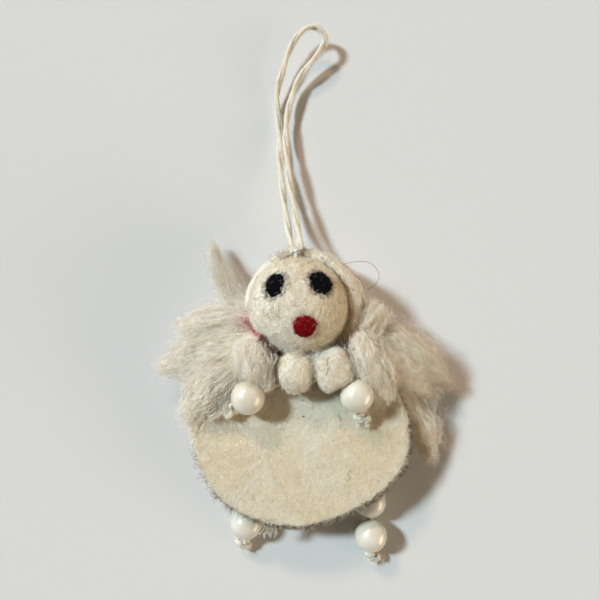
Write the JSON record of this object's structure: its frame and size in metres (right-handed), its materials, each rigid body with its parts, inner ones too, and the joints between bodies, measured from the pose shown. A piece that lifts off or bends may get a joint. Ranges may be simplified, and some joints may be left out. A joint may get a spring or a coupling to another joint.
{
  "type": "felt christmas ornament",
  "caption": "Small needle-felted wool angel doll with a round felt dress, carded wool wings, pearl beads strung on cord limbs and a twine hanging loop.",
  "frame": {"origin": "on the flat back of the hood, straight under the centre of the head, where the doll rests on its back", "axes": "+Z out of the table towards the viewer, along which the face looks; +Y from the feet towards the crown and the hanging loop; +X to the right as seen from the front"},
  "size_m": [0.0715, 0.1403, 0.0262],
  "materials": {
    "head_felt": "needle-felted off-white wool, matte with fine stray fibres",
    "dress_felt": "thick cream wool felt, matted and slightly mottled, fuzzy cut edge",
    "carded_wool": "unspun carded wool in soft curling locks",
    "twine": "undyed loosely laid cotton twine",
    "pearl": "glossy imitation pearl with a soft lustre",
    "black_wool": "black needle-felted wool",
    "red_wool": "dark red needle-felted wool"
  },
  "bodies": {
    "doll": {"head": "head_felt", "left_eye": "black_wool", "right_eye": "black_wool", "mouth": "red_wool", "hood": "head_felt", "dress": "dress_felt", "left_arm_stitch": "twine", "right_arm_stitch": "twine", "left_leg_stitch": "twine", "right_leg_stitch": "twine", "collar_puff_left": "head_felt", "collar_puff_right": "head_felt", "wool_left_main": "carded_wool", "wool_left_upper": "carded_wool", "wool_left_wisp": "carded_wool", "wool_left_inner": "carded_wool", "wool_left_lower": "carded_wool", "wool_right_main": "carded_wool", "wool_right_lobe": "carded_wool", "wool_right_inner": "carded_wool", "wool_right_under": "carded_wool", "wool_right_tuft": "carded_wool", "crown_knot": "twine"},
    "hanging_loop": {"hanging_loop": "twine"},
    "left_arm": {"left_arm_cord": "twine"},
    "left_hand_pearl": {"left_hand_pearl": "pearl"},
    "right_arm": {"right_arm_cord": "twine"},
    "right_hand_pearl": {"right_hand_pearl": "pearl"},
    "left_leg": {"left_leg_cord": "twine"},
    "left_foot_pearl_upper": {"left_foot_pearl_upper": "pearl"},
    "left_foot_pearl_lower": {"left_foot_pearl_lower": "pearl"},
    "right_leg": {"right_leg_cord": "twine"},
    "right_foot_pearl_upper": {"right_foot_pearl_upper": "pearl"},
    "right_foot_pearl_lower": {"right_foot_pearl_lower": "pearl"}
  },
  "joints": [
    {"name": "loop_swing", "type": "hinge", "parent": "doll", "child": "hanging_loop", "pos_m": [-0.00085, 0.01336, 0.01302], "axis": [1, 0, 0], "range_deg": [0, 110]},
    {"name": "left_arm_swing", "type": "hinge", "parent": "doll", "child": "left_arm", "pos_m": [-0.00226, -0.01679, 0.0125], "axis": [0, 0, 1], "range_deg": [0, 40]},
    {"name": "left_hand_pearl_spin", "type": "hinge", "parent": "left_arm", "child": "left_hand_pearl", "pos_m": [-0.01211, -0.02122, 0.0168], "axis": [-0.9121, -0.4099, 0], "continuous": true},
    {"name": "right_arm_swing", "type": "hinge", "parent": "doll", "child": "right_arm", "pos_m": [0.01063, -0.01047, 0.0125], "axis": [0, 0, 1], "range_deg": [0, 15]},
    {"name": "right_hand_pearl_spin", "type": "hinge", "parent": "right_arm", "child": "right_hand_pearl", "pos_m": [0.01328, -0.02084, 0.0168], "axis": [0.247, -0.969, 0], "continuous": true},
    {"name": "left_leg_swing", "type": "hinge", "parent": "doll", "child": "left_leg", "pos_m": [-0.01371, -0.03501, 0.0084], "axis": [0, 0, 1], "range_deg": [-25, 25]},
    {"name": "left_foot_pearl_upper_spin", "type": "hinge", "parent": "left_leg", "child": "left_foot_pearl_upper", "pos_m": [-0.01343, -0.0449, 0.004], "axis": [0.0279, -0.9996, 0], "continuous": true},
    {"name": "left_foot_pearl_lower_spin", "type": "hinge", "parent": "left_leg", "child": "left_foot_pearl_lower", "pos_m": [-0.0132, -0.0532, 0.004], "axis": [0.0279, -0.9996, 0], "continuous": true},
    {"name": "right_leg_swing", "type": "hinge", "parent": "doll", "child": "right_leg", "pos_m": [0.01756, -0.03633, 0.0084], "axis": [0, 0, 1], "range_deg": [-25, 25]},
    {"name": "right_foot_pearl_upper_spin", "type": "hinge", "parent": "right_leg", "child": "right_foot_pearl_upper", "pos_m": [0.01777, -0.04813, 0.004], "axis": [0.0175, -0.9998, 0], "continuous": true},
    {"name": "right_foot_pearl_lower_spin", "type": "hinge", "parent": "right_leg", "child": "right_foot_pearl_lower", "pos_m": [0.01791, -0.05643, 0.004], "axis": [0.0175, -0.9998, 0], "continuous": true}
  ]
}
